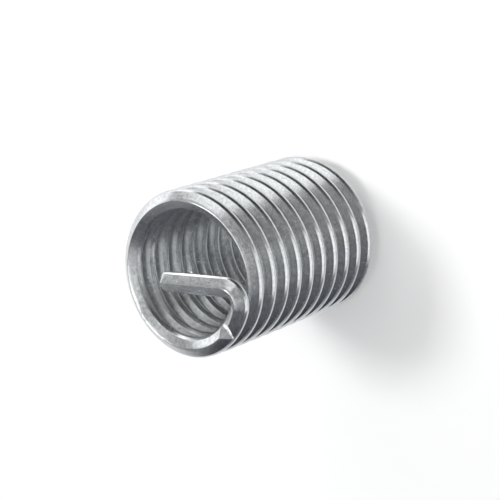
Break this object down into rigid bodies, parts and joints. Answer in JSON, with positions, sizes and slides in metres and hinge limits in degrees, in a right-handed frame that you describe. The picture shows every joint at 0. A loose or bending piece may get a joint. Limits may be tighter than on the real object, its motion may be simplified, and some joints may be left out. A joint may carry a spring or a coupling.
{
  "type": "wire thread insert",
  "caption": "Coil of diamond-section wire that lines a tapped hole with a hard screw thread, with a tang across one end for winding it in and a notch where the tang breaks off.",
  "frame": {"origin": "on the coil axis, level with the lowest point of the plain end", "axes": "+Z along the coil axis from the plain end to the tang end; +X and +Y square to it, with the break-off notch 38 degrees from +X towards -Y"},
  "size_m": [0.0104, 0.0104, 0.014],
  "materials": {
    "steel": "bright cold-rolled stainless steel, satin, with fine lines along the wire"
  },
  "bodies": {
    "root": {"thread_insert": "steel"}
  },
  "joints": []
}
